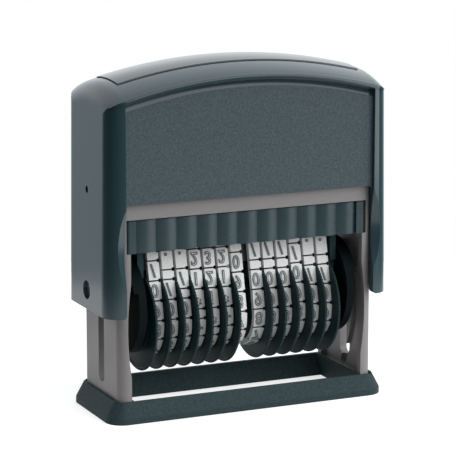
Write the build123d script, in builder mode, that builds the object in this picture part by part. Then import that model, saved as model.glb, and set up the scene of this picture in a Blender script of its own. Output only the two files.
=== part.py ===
from build123d import *
import os
from math import asin, cos, degrees, pi, radians, sin, sqrt, tan

# A self-inking numbering machine with thirteen rubber bands, in millimetres.
# +X runs along the row of bands to the right, -Y is the front, +Z is up.
# The origin is the middle of the footprint, on the surface that the machine stands on.

os.makedirs("parts", exist_ok=True)

# ---------------------------------------------------------------- motion
pivot_z = 32.0             # the print unit's axle with the cap up
print_height = 12.5        # print face above the pivot
press_stroke = pivot_z - print_height   # the cap goes down until the print face is on the table
drop_per_radian = press_stroke / pi     # the unit turns half round over the stroke

# ---------------------------------------------------------------- clearances
slide_gap = 0.3            # cap on frame, cartridge in frame
running_fit = 0.05         # radial, pins and wheels that turn
seat_fit = 0.02            # radial, pins pressed into the print unit
assembly_gap = 0.1         # pieces that are put together and stay

# ---------------------------------------------------------------- foot
foot_reach_x = 2.95        # past the legs at the ends
foot_reach_y = 2.05        # and along the front and the back
foot_corner = 4.5
foot_height = 5.4
foot_lip = 1.5             # upright edge under the sloping skirt
foot_slope_x = 2.1         # how far the skirt leans in at the ends
foot_slope_y = 1.4         # and along the front and the back
foot_ledge_x = 0.7         # the opening's ends stand in from the legs
foot_ledge_y = 3.2         # and its long walls stand in from the frame, at the table
foot_ledge_top_y = 0.2     # but hardly at the top
foot_socket_floor = 1.4

# ---------------------------------------------------------------- lower frame
frame_corner = 2.5
leg_depth = 3.25           # from the side of a leg to the window between the legs
leg_web = 2.0              # side wall of a leg
leg_flange = 1.8           # front and back walls of a leg
leg_solid_top = 5.0        # the legs are solid inside the foot
shelf_thickness = 1.5      # carries the ends of the cartridge
shelf_under_print = 1.7    # underside of the cartridge, below the print face
bay_height = 8.5           # cartridge bay
bay_wall = 2.15            # beside the cartridge bay
deck_thickness = 2.0       # over the cartridge
frame_wall = 1.6           # rim above the deck
frame_rim_height = 4.7
axle_slot_width = 3.8
axle_slot_spare = 2.7      # under the axle with the cap pressed
relief_depth = 0.9         # hollow in the inner edge of each leg
relief_height = 24.0
relief_z = 23.2

# ---------------------------------------------------------------- axles and guide pins
axle_radius = 1.75
guide_pin_radius = 1.0
guide_pin_offset = 6.0     # above the pivot, with the cap up
guide_track_depth = 0.9
guide_track_clearance = 0.2

# ---------------------------------------------------------------- cap
cap_width = 78.0
cap_depth = 30.7           # over the lips at the top
lip_overhang = 0.45        # of the lips over the pillars
cap_corner = 4.7
cap_under_pivot = 4.9      # the cap reaches this far under the print unit's axle
cap_top_z = 88.95          # crown, under the index cover
cap_lean = 0.8             # degrees that each end leans in towards the top
cap_wall = 1.6
arch_radius = 134.0        # the top is an arch from end to end
crown_radius = 38.35       # and crowned from front to back
shoulder_radius = 5.3
outline_margin = 0.002     # the lips are drawn this much too high, and the outline trims them
outline_spare = 2.0        # the outline is drawn deeper than the cap
lip_edge = 0.645           # upright edge of the lip, under the crowned top
lip_round = 0.45
panel_inset = 1.1          # the front and back panels stand behind the pillars
panel_wall = 1.1
panel_bottom_z = 55.2
panel_under_lip = 2.35     # top edge of the panel
groove_depth = 0.7         # of the groove over the panel
groove_under_lip = 0.8     # its deepest line
window_corner = 1.2
pillar_width = 5.0
pillar_toe = 1.0           # round at the inner lower corner of each pillar
ceiling_thickness = 3.8
boss_radius = 4.2
boss_length = 1.95         # the bearing bosses and the ribs, inside the ends
bearing_recess_radius = 2.4
bearing_recess_depth = 1.0
side_hole_radius = 0.9
side_hole_z = 57.5
rib_width = 1.5
rib_y = 8.0
rib_top_drop = 12.95       # from the crown to the top of the ribs
scoop_height = 20.0        # finger scoops in the inner edges of the pillars
scoop_width = 2.8
scoop_depth = 1.6
scoop_rise = 3.15          # the scoops' middle over the middle of the window's sides

# ---------------------------------------------------------------- index cover
cover_end_margin = 6.0     # from the cover's end to the side of the cap
cover_half_depth = 7.1
cover_proud = 0.3
cover_thickness = 2.0
card_thickness = 0.3
cover_gap = 0.15
cover_edge_round = 0.3

# ---------------------------------------------------------------- return springs
spring_x = 20.0
spring_radius = 3.0        # to the middle of the wire
spring_wire = 0.35
spring_turns = 9
spring_top_drop = 5.95     # from the crown to the seats of the springs
spring_peg_radius = 2.2
spring_peg_length = 3.0

# ---------------------------------------------------------------- bands and wheels
left_wheels = 7
right_wheels = 6
band_side_gap = 0.05
flange_thickness = 0.6
centre_spacer = 1.9        # between the two groups of wheels
flange_radius = 13.2
wheel_drop = 8.8           # wheel axis under the pivot
band_radius = 9.7          # over the figures, round the wheel
band_thickness = 1.6
hub_gap = 0.3
shaft_radius = 1.4
spacer_radius = 5.0

# ---------------------------------------------------------------- platen and side arms
platen_half_depth = 5.6    # over the bands
platen_corner = 2.2
platen_flange_gap = 0.4    # between the platen and the wheels' rims
arm_gap = 0.35             # beside the outermost wheels
arm_head_proud = 0.4       # the head of the arm over the front of the bands
arm_head_height = 8.65
arm_head_thickness = 1.7
arm_top_drop = 0.9         # arm's top under the print face
arm_waist_half = 5.0
arm_below_shaft = 8.0      # the arm's waist reaches this far under the wheel shaft
arm_end_corner = 3.0
plate_radius = 12.6        # a round plate closes the arm's outer side
plate_thickness = 2.0
plate_drop = 4.4           # its centre under the pivot
plate_step = 1.1           # the plate is thicker at the top, and round the axle
plate_step_rise = 0.5      # the thick part starts this far over the pivot
axle_boss_radius = 3.0
plate_side_gap = 1.1       # between the plate and the leg
shaft_socket = 1.1
axle_socket = 1.6

# ---------------------------------------------------------------- ink cartridge
grip_inset = 0.2           # the fluted grip stands behind the front of the frame
grip_wall = 1.9
mouth_end_wall = 3.3       # between the mouth and the cartridge's ends
pad_margin_x = 0.75        # the pad reaches past the row of bands
pad_margin_y = 3.0         # and past their front and back
pad_clearance = 0.3        # over the print face
pad_thickness = 3.6
cartridge_floor_gap = 2.0  # front grip hangs this far under the body
flute_count = 11           # the flutes are convex
flute_end_margin = 2.34    # plain ends of the fluted grip
flute_inset = 0.1          # the flutes stand behind the plain ends
flute_depth = 0.8          # of the lines between the flutes
cartridge_corner = 0.6

# ---------------------------------------------------------------- derived places
# the cap's depth and width settle the frame inside it, and the frame settles the rest
cap_base_z = pivot_z - cap_under_pivot
arch_axis_z = cap_top_z - arch_radius
rib_top_z = cap_top_z - rib_top_drop
spring_top_z = cap_top_z - spring_top_drop
cap_body_depth = cap_depth - 2 * lip_overhang
panel_half_depth = cap_body_depth / 2 - panel_inset
groove_half_depth = panel_half_depth - groove_depth
panel_half_x = cap_width / 2 - pillar_width
cap_inner_half_x = cap_width / 2 - cap_wall
cap_inner_half_y = panel_half_depth - panel_wall
bearing_face = cap_inner_half_x - boss_length
cover_half_length = cap_width / 2 - cover_end_margin

frame_half_x = bearing_face - slide_gap
frame_half_y = cap_inner_half_y - slide_gap
web_inner = frame_half_x - leg_web
window_half_x = frame_half_x - leg_depth
bay_half_x = frame_half_x - bay_wall
axle_slot_bottom = pivot_z - press_stroke - axle_slot_width / 2 - axle_slot_spare
print_z = pivot_z + print_height
shelf_z = print_z - shelf_under_print
deck_z = shelf_z + bay_height
deck_top = deck_z + deck_thickness
frame_top_z = deck_top + frame_rim_height

foot_width = 2 * (frame_half_x + foot_reach_x)
foot_depth = 2 * (frame_half_y + foot_reach_y)
foot_opening_half_x = window_half_x - foot_ledge_x
foot_opening_half_y = frame_half_y - foot_ledge_y
foot_opening_top_half_y = frame_half_y - foot_ledge_top_y

# the row of bands fills the room between the side arms
wheel_z = pivot_z - wheel_drop
plate_outer = window_half_x - plate_side_gap
plate_inner = plate_outer - plate_step - plate_thickness
arm_inner = plate_inner - arm_head_thickness
pack_half = arm_inner - arm_gap
wheel_pitch = (2 * pack_half - centre_spacer) / (left_wheels + right_wheels)
band_width = wheel_pitch - flange_thickness - 2 * band_side_gap
arm_head_half = platen_half_depth + arm_head_proud

cartridge_half_x = bay_half_x - slide_gap
cartridge_half_y = frame_half_y - grip_inset
mouth_half_x = cartridge_half_x - mouth_end_wall
mouth_half_y = cartridge_half_y - grip_wall
flute_pitch = 2 * (cartridge_half_x - flute_end_margin) / flute_count
pad_half_x = pack_half + pad_margin_x
pad_half_y = platen_half_depth + pad_margin_y
sides = {"left": -1, "right": 1}


def leaning_plane(half_angle):
    """Plane through the arch's axis, leaning left: its x is depth and its y is the radius."""
    lean = radians(half_angle)
    return Plane(origin=(0, 0, arch_axis_z), x_dir=(0, 1, 0), z_dir=(cos(lean), 0, sin(lean)))


arch_axis = Axis((0, 0, arch_axis_z), (0, 1, 0))


def crown_drop(half_depth):
    """How far the crowned top falls at a distance from the middle."""
    return crown_radius - sqrt(crown_radius**2 - half_depth**2)


def across(x):
    """A plane that looks along +X from x: its x is depth and its y is height."""
    return Plane(origin=(x, 0, 0), x_dir=(0, 1, 0), z_dir=(1, 0, 0))


# ================================================================ foot
with BuildPart() as base_foot:
    with BuildSketch(Plane.XY):
        RectangleRounded(foot_width, foot_depth, foot_corner)
    extrude(amount=foot_lip)
    with BuildSketch(Plane.XY.offset(foot_lip)):
        RectangleRounded(foot_width, foot_depth, foot_corner)
    with BuildSketch(Plane.XY.offset(foot_height)):
        RectangleRounded(
            foot_width - 2 * foot_slope_x,
            foot_depth - 2 * foot_slope_y,
            foot_corner - foot_slope_y,
        )
    loft()
    # the opening that the print face comes down through, with leaning walls
    with BuildSketch(Plane.XY):
        Rectangle(2 * foot_opening_half_x, 2 * foot_opening_half_y)
    with BuildSketch(Plane.XY.offset(foot_height)):
        Rectangle(2 * foot_opening_half_x, 2 * foot_opening_top_half_y)
    loft(mode=Mode.SUBTRACT)
    # sockets for the legs
    socket_inner = window_half_x - assembly_gap
    socket_outer = frame_half_x + assembly_gap
    with BuildSketch(Plane.XY.offset(foot_socket_floor)):
        for side in sides.values():
            with Locations((side * (socket_inner + socket_outer) / 2, 0)):
                Rectangle(socket_outer - socket_inner, 2 * (frame_half_y + assembly_gap))
    extrude(amount=foot_height - foot_socket_floor, mode=Mode.SUBTRACT)
base_foot.part.label = "base_foot"
export_step(base_foot.part, "parts/base_foot.step")

# ================================================================ lower frame
relief_start = relief_z - relief_height / 2
relief_end = relief_z + relief_height / 2


def guide_track_point(turn, offset_to_side):
    """A point of the bowed track, which the guide pin passes at a turn of the print unit.

    The pin's centre is at y = -r sin(turn), z = pivot - drop * turn + r cos(turn), and the
    point lies off to one side of it, square to the way that the pin moves.
    """
    y = -guide_pin_offset * sin(turn)
    z = pivot_z - drop_per_radian * turn + guide_pin_offset * cos(turn)
    move_y = -guide_pin_offset * cos(turn)
    move_z = -drop_per_radian - guide_pin_offset * sin(turn)
    length = sqrt(move_y**2 + move_z**2)
    return y + offset_to_side * move_z / length, z - offset_to_side * move_y / length


def guide_track_tip(turn, beyond_pin):
    """The round end of the track, past the pin's first or last place."""
    move_y = -guide_pin_offset * cos(turn)
    length = sqrt(move_y**2 + drop_per_radian**2)
    y, z = guide_track_point(turn, 0)
    return y + beyond_pin * move_y / length, z - beyond_pin * drop_per_radian / length


track_half_width = guide_pin_radius + guide_track_clearance
track_steps = 10
track_turns = [pi * step / track_steps for step in range(track_steps + 1)]
track_front = [guide_track_point(turn, track_half_width) for turn in track_turns]
track_back = [guide_track_point(turn, -track_half_width) for turn in reversed(track_turns)]

with BuildPart() as lower_frame:
    with BuildSketch(Plane.XY.offset(foot_socket_floor)):
        RectangleRounded(2 * frame_half_x, 2 * frame_half_y, frame_corner)
    extrude(amount=frame_top_z - foot_socket_floor)
    # the window between the legs, open at the front, the back and the bottom
    with BuildSketch(Plane.XZ):
        with BuildLine():
            Polyline(
                (window_half_x, relief_start),
                (window_half_x, foot_socket_floor),
                (-window_half_x, foot_socket_floor),
                (-window_half_x, relief_start),
            )
            ThreePointArc(
                (-window_half_x, relief_start),
                (-window_half_x - relief_depth, relief_z),
                (-window_half_x, relief_end),
            )
            Polyline(
                (-window_half_x, relief_end),
                (-window_half_x, shelf_z),
                (window_half_x, shelf_z),
                (window_half_x, relief_end),
            )
            ThreePointArc(
                (window_half_x, relief_end),
                (window_half_x + relief_depth, relief_z),
                (window_half_x, relief_start),
            )
        make_face()
    extrude(amount=frame_half_y, both=True, mode=Mode.SUBTRACT)
    # each leg is a channel, open to the inside
    with BuildSketch(Plane.XY.offset(leg_solid_top)):
        Rectangle(2 * web_inner, 2 * (frame_half_y - leg_flange))
    extrude(amount=shelf_z - shelf_thickness - leg_solid_top, mode=Mode.SUBTRACT)
    # the bay that the ink cartridge slides into
    with BuildSketch(Plane.XZ):
        with Locations((0, (shelf_z + deck_z) / 2)):
            Rectangle(2 * bay_half_x, deck_z - shelf_z)
    extrude(amount=frame_half_y, both=True, mode=Mode.SUBTRACT)
    # the open box over the deck, where the springs stand
    with BuildSketch(Plane.XY.offset(deck_top)):
        Rectangle(2 * (frame_half_x - frame_wall), 2 * (frame_half_y - frame_wall))
    extrude(amount=frame_top_z - deck_top, mode=Mode.SUBTRACT)
    with BuildSketch(Plane.XY.offset(deck_top)):
        with Locations((-spring_x, 0), (spring_x, 0)):
            Circle(spring_peg_radius)
    extrude(amount=spring_peg_length)
    # upright slots for the print unit's axles
    slot_top = pivot_z + axle_slot_width / 2
    with BuildSketch(Plane.YZ):
        with Locations((0, (axle_slot_bottom + slot_top) / 2)):
            SlotOverall(slot_top - axle_slot_bottom, axle_slot_width, rotation=90)
    extrude(amount=frame_half_x, both=True, mode=Mode.SUBTRACT)
    # the bowed track inside each leg that turns the print unit over
    for side in sides.values():
        track_face = web_inner if side > 0 else -web_inner - guide_track_depth
        with BuildSketch(across(track_face)):
            with BuildLine():
                Spline(track_front)
                ThreePointArc(track_front[-1], guide_track_tip(pi, track_half_width), track_back[0])
                Spline(track_back)
                ThreePointArc(track_back[-1], guide_track_tip(0, -track_half_width), track_front[0])
            make_face()
        extrude(amount=guide_track_depth, mode=Mode.SUBTRACT)
lower_frame.part.label = "lower_frame"
export_step(lower_frame.part, "parts/lower_frame.step")

# ================================================================ cap
envelope_top = cap_top_z + cover_proud + slide_gap
lean_in = (envelope_top - cap_base_z) * tan(radians(cap_lean))
sweep_half_angle = 35.0
inner_reach = 60.0         # radius under the whole cap, for the arch's sections
outer_reach = arch_radius + 6.0
beyond = 20.0              # deeper than the cap
lip_shoulder = arch_radius - crown_drop(cap_depth / 2)
lip_radius = lip_shoulder - lip_edge


def leaning_prism(depth):
    """A prism as wide as the cap, with ends that lean in towards the top."""
    with BuildPart() as prism:
        with BuildSketch(Plane.XZ.offset(-depth / 2)):
            Polygon(
                (-cap_width / 2, cap_base_z),
                (cap_width / 2, cap_base_z),
                (cap_width / 2 - lean_in, envelope_top),
                (-cap_width / 2 + lean_in, envelope_top),
                align=None,
            )
        extrude(amount=depth)
    return prism.part


def leaning_block(depth):
    """The prism with rounded upright corners."""
    with BuildPart() as block:
        add(leaning_prism(depth))
        fillet(edges().filter_by(Axis.X, reverse=True).filter_by(Axis.Y, reverse=True), cap_corner)
    return block.part


def crowned_section(half_depth, foot_radius, margin=0.0):
    """The cap's section across the arch: a crowned top over upright sides, a margin too high."""
    shoulder = arch_radius + margin - crown_drop(half_depth)
    with BuildSketch() as section:
        with BuildLine():
            ThreePointArc(
                (-half_depth, shoulder), (0, arch_radius + margin), (half_depth, shoulder)
            )
            Polyline(
                (half_depth, shoulder),
                (half_depth, foot_radius),
                (-half_depth, foot_radius),
                (-half_depth, shoulder),
            )
        make_face()
    return section.sketch


# the lips overhang the pillars at the front and the back
with BuildPart() as cap_lips:
    add(leaning_block(cap_depth))
    with BuildSketch(leaning_plane(sweep_half_angle)):
        add(crowned_section(cap_depth / 2, lip_radius, outline_margin))
        fillet(vertices().sort_by(Axis.Y)[-2:], lip_round)
    revolve(axis=arch_axis, revolution_arc=2 * sweep_half_angle, mode=Mode.INTERSECT)

# the crowned top comes down to each end over a round shoulder that follows the crown
outline_half_depth = cap_depth / 2 + outline_spare
with BuildPart() as cap_outline:
    add(leaning_prism(2 * outline_half_depth))
    with BuildSketch(leaning_plane(sweep_half_angle)):
        add(crowned_section(outline_half_depth, inner_reach))
    revolve(axis=arch_axis, revolution_arc=2 * sweep_half_angle, mode=Mode.INTERSECT)
    end_edges = edges().filter_by(
        lambda edge: edge.center().Z > panel_bottom_z and abs(edge.center().X) > panel_half_x
    )
    fillet(end_edges, shoulder_radius)

# what is cut away in front of each panel, with the groove under the lip
with BuildPart() as panel_recess:
    with BuildSketch(leaning_plane(sweep_half_angle)):
        with BuildLine():
            Polyline(
                (-beyond, inner_reach),
                (-panel_half_depth, inner_reach),
                (-panel_half_depth, lip_radius - panel_under_lip),
                (-groove_half_depth, lip_radius - groove_under_lip),
                (-cap_depth / 2, lip_radius),
                (-beyond, lip_radius),
                close=True,
            )
        make_face()
        mirror(about=Plane.YZ)
    revolve(axis=arch_axis, revolution_arc=2 * sweep_half_angle)
    Box(2 * panel_half_x, 2 * beyond, 2 * envelope_top, mode=Mode.INTERSECT)

ceiling_radius = arch_radius - ceiling_thickness
ceiling_side_z = arch_axis_z + sqrt(ceiling_radius**2 - cap_inner_half_x**2)
scoop_a = (scoop_height**2 / 4 - scoop_width**2) / (2 * scoop_width)
scoop_b = (scoop_height**2 / 4 - scoop_depth**2) / (2 * scoop_depth)
scoop_radius = sqrt(scoop_a**2 + scoop_b**2 + scoop_height**2 / 4)

recess_half_length = cover_half_length + cover_gap
recess_half_angle = degrees(asin(recess_half_length / arch_radius))
cover_base_radius = arch_radius + cover_proud - cover_thickness
card_radius = cover_base_radius - cover_gap - card_thickness

# finger scoops in the inner edges of the pillars, front and back
scoop_z = (cap_base_z + panel_bottom_z) / 2 + scoop_rise
with BuildPart() as finger_scoops:
    for side in sides.values():
        for face in (-1, 1):
            with Locations((
                side * (panel_half_x - scoop_a), face * (cap_body_depth / 2 + scoop_b), scoop_z
            )):
                Sphere(scoop_radius)
    with Locations(
        (-panel_half_x - pillar_width / 2, 0, scoop_z), (panel_half_x + pillar_width / 2, 0, scoop_z)
    ):
        Box(pillar_width, 2 * beyond, 2 * scoop_height, mode=Mode.INTERSECT)

with BuildPart() as cap_shell:
    add(leaning_block(cap_body_depth))
    add(cap_lips.part)
    add(cap_outline.part, mode=Mode.INTERSECT)
    add(panel_recess.part, mode=Mode.SUBTRACT)
    # the hollow inside, under an arched ceiling
    with BuildSketch(Plane.XZ):
        with BuildLine():
            ThreePointArc(
                (-cap_inner_half_x, ceiling_side_z),
                (0, arch_axis_z + ceiling_radius),
                (cap_inner_half_x, ceiling_side_z),
            )
            Polyline(
                (cap_inner_half_x, ceiling_side_z),
                (cap_inner_half_x, cap_base_z),
                (-cap_inner_half_x, cap_base_z),
                (-cap_inner_half_x, ceiling_side_z),
            )
        make_face()
        fillet(vertices().sort_by(Axis.Y)[-2:], shoulder_radius - cap_wall)
    extrude(amount=cap_inner_half_y, both=True, mode=Mode.SUBTRACT)
    # the front and the back are open under the panels, between the pillars and their round toes
    with BuildSketch(Plane.XZ):
        with BuildLine():
            Polyline(
                (0, 0),
                (panel_half_x + pillar_toe, 0),
                (panel_half_x + pillar_toe, cap_base_z),
            )
            RadiusArc(
                (panel_half_x + pillar_toe, cap_base_z),
                (panel_half_x, cap_base_z + pillar_toe),
                pillar_toe,
            )
            Line((panel_half_x, cap_base_z + pillar_toe), (panel_half_x, panel_bottom_z - window_corner))
            RadiusArc(
                (panel_half_x, panel_bottom_z - window_corner),
                (panel_half_x - window_corner, panel_bottom_z),
                -window_corner,
            )
            Polyline((panel_half_x - window_corner, panel_bottom_z), (0, panel_bottom_z), (0, 0))
        make_face()
        mirror(about=Plane.YZ)
    extrude(amount=beyond, both=True, mode=Mode.SUBTRACT)
    # the bed for the index card and its cover
    with BuildSketch(leaning_plane(recess_half_angle)):
        with Locations((0, (card_radius + outer_reach) / 2)):
            Rectangle(2 * (cover_half_depth + cover_gap), outer_reach - card_radius)
    revolve(axis=arch_axis, revolution_arc=2 * recess_half_angle, mode=Mode.SUBTRACT)
    # pads for the springs, with a peg inside each coil
    with BuildSketch(Plane.XY.offset(spring_top_z)):
        with Locations((-spring_x, 0), (spring_x, 0)):
            Circle(spring_radius + spring_wire)
    extrude(until=Until.NEXT)
    with BuildSketch(Plane.XY.offset(spring_top_z - spring_peg_length)):
        with Locations((-spring_x, 0), (spring_x, 0)):
            Circle(spring_peg_radius)
    extrude(amount=spring_peg_length)
    for side in sides.values():
        # guide ribs and the bearing boss, which run along the leg
        with BuildSketch(across(side * bearing_face)):
            with Locations((-rib_y, (pivot_z + rib_top_z) / 2), (rib_y, (pivot_z + rib_top_z) / 2)):
                Rectangle(rib_width, rib_top_z - pivot_z)
            with Locations((0, pivot_z)):
                Circle(boss_radius)
        extrude(amount=side * (cap_inner_half_x - bearing_face + cap_wall / 2))
        # the bearing, with a wider recess outside, and the small hole above it
        with BuildSketch(across(side * bearing_face)):
            with Locations((0, pivot_z)):
                Circle(axle_radius + running_fit)
            with Locations((0, side_hole_z)):
                Circle(side_hole_radius)
        extrude(amount=side * (cap_width / 2 - bearing_face), mode=Mode.SUBTRACT)
        with BuildSketch(across(side * cap_width / 2)):
            with Locations((0, pivot_z)):
                Circle(bearing_recess_radius)
        extrude(amount=-side * bearing_recess_depth, mode=Mode.SUBTRACT)
    add(finger_scoops.part, mode=Mode.SUBTRACT)
cap_shell.part.label = "cap_shell"
export_step(cap_shell.part, "parts/cap_shell.step")

# ================================================================ index card and its cover
card_half_length = cover_half_length - cover_gap
card_half_angle = degrees(asin(card_half_length / arch_radius))
with BuildPart() as index_card:
    with BuildSketch(leaning_plane(card_half_angle)):
        with Locations((0, card_radius + card_thickness / 2)):
            Rectangle(2 * (cover_half_depth - cover_gap), card_thickness)
    revolve(axis=arch_axis, revolution_arc=2 * card_half_angle)
index_card.part.label = "index_card"
export_step(index_card.part, "parts/index_card.step")

cover_half_angle = degrees(asin(cover_half_length / arch_radius))
cover_top_radius = arch_radius + cover_proud
cover_shoulder = cover_top_radius - crown_drop(cover_half_depth)
with BuildPart() as index_cover:
    with BuildSketch(leaning_plane(cover_half_angle)):
        with BuildLine():
            ThreePointArc(
                (-cover_half_depth, cover_shoulder),
                (0, cover_top_radius),
                (cover_half_depth, cover_shoulder),
            )
            Polyline(
                (cover_half_depth, cover_shoulder),
                (cover_half_depth, cover_base_radius),
                (-cover_half_depth, cover_base_radius),
                (-cover_half_depth, cover_shoulder),
            )
        make_face()
        fillet(vertices().sort_by(Axis.Y)[-2:], cover_edge_round)
    revolve(axis=arch_axis, revolution_arc=2 * cover_half_angle)
index_cover.part.label = "index_cover"
export_step(index_cover.part, "parts/index_cover.step")

# ================================================================ return springs
coil_start = deck_top + spring_wire + assembly_gap
coil_length = spring_top_z - spring_wire - assembly_gap - coil_start
for name, side in sides.items():
    with BuildPart() as return_spring:
        with BuildLine() as coil:
            Helix(
                pitch=coil_length / spring_turns,
                height=coil_length,
                radius=spring_radius,
                center=(side * spring_x, 0, coil_start),
            )
        with BuildSketch(Plane(origin=coil.line @ 0, z_dir=coil.line % 0)):
            Circle(spring_wire)
        sweep(path=coil.line, is_frenet=True)
    return_spring.part.label = f"return_spring_{name}"
    export_step(return_spring.part, f"parts/return_spring_{name}.step")

# ================================================================ ink cartridge and pad
body_z = shelf_z + cartridge_floor_gap
cartridge_top = deck_z - slide_gap
pad_z = print_z + pad_clearance
flute_rise = flute_depth - flute_inset
flute_radius = ((flute_pitch / 2) ** 2 + flute_rise**2) / (2 * flute_rise)
with BuildPart() as ink_cartridge:
    with BuildSketch(Plane.XY.offset(shelf_z)):
        RectangleRounded(2 * cartridge_half_x, 2 * cartridge_half_y, cartridge_corner)
    extrude(amount=cartridge_top - shelf_z)
    # the mouth over the print face, open at the back so that the cartridge slides out forwards
    with BuildSketch(Plane.XY.offset(shelf_z)):
        with Locations((0, (cartridge_half_y + slide_gap - mouth_half_y) / 2)):
            Rectangle(2 * mouth_half_x, cartridge_half_y + slide_gap + mouth_half_y)
    extrude(amount=cartridge_floor_gap, mode=Mode.SUBTRACT)
    # the well that holds the pad
    with BuildSketch(Plane.XY.offset(body_z)):
        Rectangle(2 * (pad_half_x + assembly_gap), 2 * (pad_half_y + assembly_gap))
    extrude(amount=pad_z + pad_thickness - body_z, mode=Mode.SUBTRACT)
    # upright flutes across the front grip: all that stands before their rounds is cut away
    with BuildSketch(Plane.XY.offset(shelf_z)):
        with Locations((0, -cartridge_half_y + flute_depth / 2)):
            Rectangle(flute_count * flute_pitch, flute_depth)
        with GridLocations(flute_pitch, 1, flute_count, 1):
            with Locations((0, -cartridge_half_y + flute_inset + flute_radius)):
                Circle(flute_radius, mode=Mode.SUBTRACT)
    extrude(amount=cartridge_top - shelf_z, mode=Mode.SUBTRACT)
ink_cartridge.part.label = "ink_cartridge"
export_step(ink_cartridge.part, "parts/ink_cartridge.step")

with BuildPart() as ink_pad:
    with BuildSketch(Plane.XY.offset(pad_z)):
        Rectangle(2 * pad_half_x, 2 * pad_half_y)
    extrude(amount=pad_thickness)
ink_pad.part.label = "ink_pad"
export_step(ink_pad.part, "parts/ink_pad.step")

# ================================================================ print unit
# Everything here turns about the pivot with the axles, and is drawn with the print face up.
corner_y = platen_half_depth - platen_corner
corner_centre_z = print_z - platen_corner
inner_corner = platen_corner - band_thickness
inner_wheel = band_radius - band_thickness
platen_bottom = wheel_z + flange_radius + platen_flange_gap

with BuildPart() as platen:
    with BuildSketch(across(-arm_inner)):
        with Locations((-corner_y, corner_centre_z), (corner_y, corner_centre_z)):
            Circle(inner_corner - seat_fit)
        with Locations((0, wheel_z)):
            Circle(inner_wheel - seat_fit)
        make_hull()
        with Locations((0, platen_bottom - beyond)):
            Rectangle(2 * beyond, 2 * beyond, mode=Mode.SUBTRACT)
    extrude(amount=2 * arm_inner)
platen.part.label = "platen"
export_step(platen.part, "parts/platen.step")

arm_top = print_z - arm_top_drop
arm_bottom = wheel_z - arm_below_shaft
plate_z = pivot_z - plate_drop
guide_pin_z = pivot_z + guide_pin_offset
for name, side in sides.items():
    with BuildPart() as side_arm:
        with BuildSketch(across(side * arm_inner)):
            with Locations((0, (arm_top + arm_bottom) / 2)):
                RectangleRounded(2 * arm_waist_half, arm_top - arm_bottom, arm_end_corner)
            with Locations((0, arm_top - arm_head_height / 2)):
                Rectangle(2 * arm_head_half, arm_head_height)
        extrude(amount=side * arm_head_thickness)
        with BuildSketch(across(side * plate_inner)):
            with Locations((0, plate_z)):
                Circle(plate_radius)
        extrude(amount=side * plate_thickness)
        with BuildSketch(across(side * (plate_outer - plate_step))):
            with Locations((0, plate_z)):
                Circle(plate_radius)
            with Locations((0, pivot_z + plate_step_rise - plate_radius)):
                Rectangle(2 * plate_radius, 2 * plate_radius, mode=Mode.SUBTRACT)
            with Locations((0, pivot_z)):
                Circle(axle_boss_radius)
        extrude(amount=side * plate_step)
        with BuildSketch(across(side * plate_outer)):
            with Locations((0, pivot_z)):
                Circle(axle_radius + seat_fit)
            with Locations((0, guide_pin_z)):
                Circle(guide_pin_radius + seat_fit)
        extrude(amount=-side * axle_socket, mode=Mode.SUBTRACT)
        with BuildSketch(across(side * arm_inner)):
            with Locations((0, wheel_z)):
                Circle(shaft_radius + seat_fit)
        extrude(amount=side * shaft_socket, mode=Mode.SUBTRACT)
    side_arm.part.label = f"side_arm_{name}"
    export_step(side_arm.part, f"parts/side_arm_{name}.step")

    socket_x = plate_outer - axle_socket
    axle_end = cap_width / 2 - bearing_recess_depth - assembly_gap
    with BuildPart() as pivot_axle:
        with BuildSketch(across(side * socket_x)):
            with Locations((0, pivot_z)):
                Circle(axle_radius)
        extrude(amount=side * (axle_end - socket_x))
    pivot_axle.part.label = f"pivot_axle_{name}"
    export_step(pivot_axle.part, f"parts/pivot_axle_{name}.step")

    pin_end = web_inner + guide_track_depth - slide_gap
    with BuildPart() as guide_pin:
        with BuildSketch(across(side * socket_x)):
            with Locations((0, guide_pin_z)):
                Circle(guide_pin_radius)
        extrude(amount=side * (pin_end - socket_x))
    guide_pin.part.label = f"guide_pin_{name}"
    export_step(guide_pin.part, f"parts/guide_pin_{name}.step")

with BuildPart() as wheel_shaft:
    with BuildSketch(across(-arm_inner - shaft_socket)):
        with Locations((0, wheel_z)):
            Circle(shaft_radius)
    extrude(amount=2 * (arm_inner + shaft_socket))
wheel_shaft.part.label = "wheel_shaft"
export_step(wheel_shaft.part, "parts/wheel_shaft.step")

spacer_x = left_wheels * wheel_pitch - pack_half
with BuildPart() as shaft_spacer:
    with BuildSketch(across(spacer_x)):
        with Locations((0, wheel_z)):
            Circle(spacer_radius)
            Circle(shaft_radius + running_fit, mode=Mode.SUBTRACT)
    extrude(amount=centre_spacer - band_side_gap)
shaft_spacer.part.label = "shaft_spacer"
export_step(shaft_spacer.part, "parts/shaft_spacer.step")

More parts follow.
